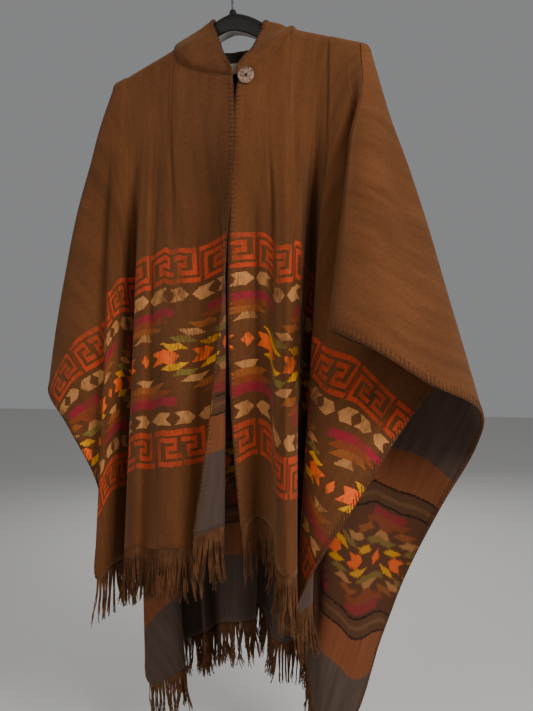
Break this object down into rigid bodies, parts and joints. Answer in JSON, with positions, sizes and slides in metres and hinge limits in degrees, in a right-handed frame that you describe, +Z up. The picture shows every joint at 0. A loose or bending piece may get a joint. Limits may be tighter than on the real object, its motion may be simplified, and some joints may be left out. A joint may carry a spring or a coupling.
{
  "type": "hooded poncho on a hanger",
  "caption": "Open-front hooded blanket poncho with fringed hems, a neck button and patterned bands, draped over a suit hanger with a wire hook.",
  "frame": {"origin": "inner top of the hanger's hook, where it hangs on a rail", "axes": "+X to the wearer's left, -Y to the front of the garment, +Z up"},
  "size_m": [0.7754, 0.4085, 1.3804],
  "materials": {
    "blanket_cloth": "brushed two-faced wool and acrylic blanket cloth, brown with woven bands",
    "hood_cloth": "brushed brown blanket cloth",
    "fringe_yarn": "loose brown yarn",
    "neck_tape": "dark olive woven tape",
    "label": "plain cream woven label",
    "button_shell": "polished mottled coconut shell",
    "hanger_plastic": "moulded black plastic",
    "hook_steel": "dark plated wire"
  },
  "bodies": {
    "root": {"front_left": "blanket_cloth", "front_right": "blanket_cloth", "back": "blanket_cloth", "hood_left": "hood_cloth", "hood_right": "hood_cloth", "front_left_fringe": "fringe_yarn", "front_right_fringe": "fringe_yarn", "back_fringe": "fringe_yarn", "neck_tape": "neck_tape", "neck_label": "label", "button": "button_shell", "hanger_body": "hanger_plastic", "hanger_hook": "hook_steel"}
  },
  "joints": []
}
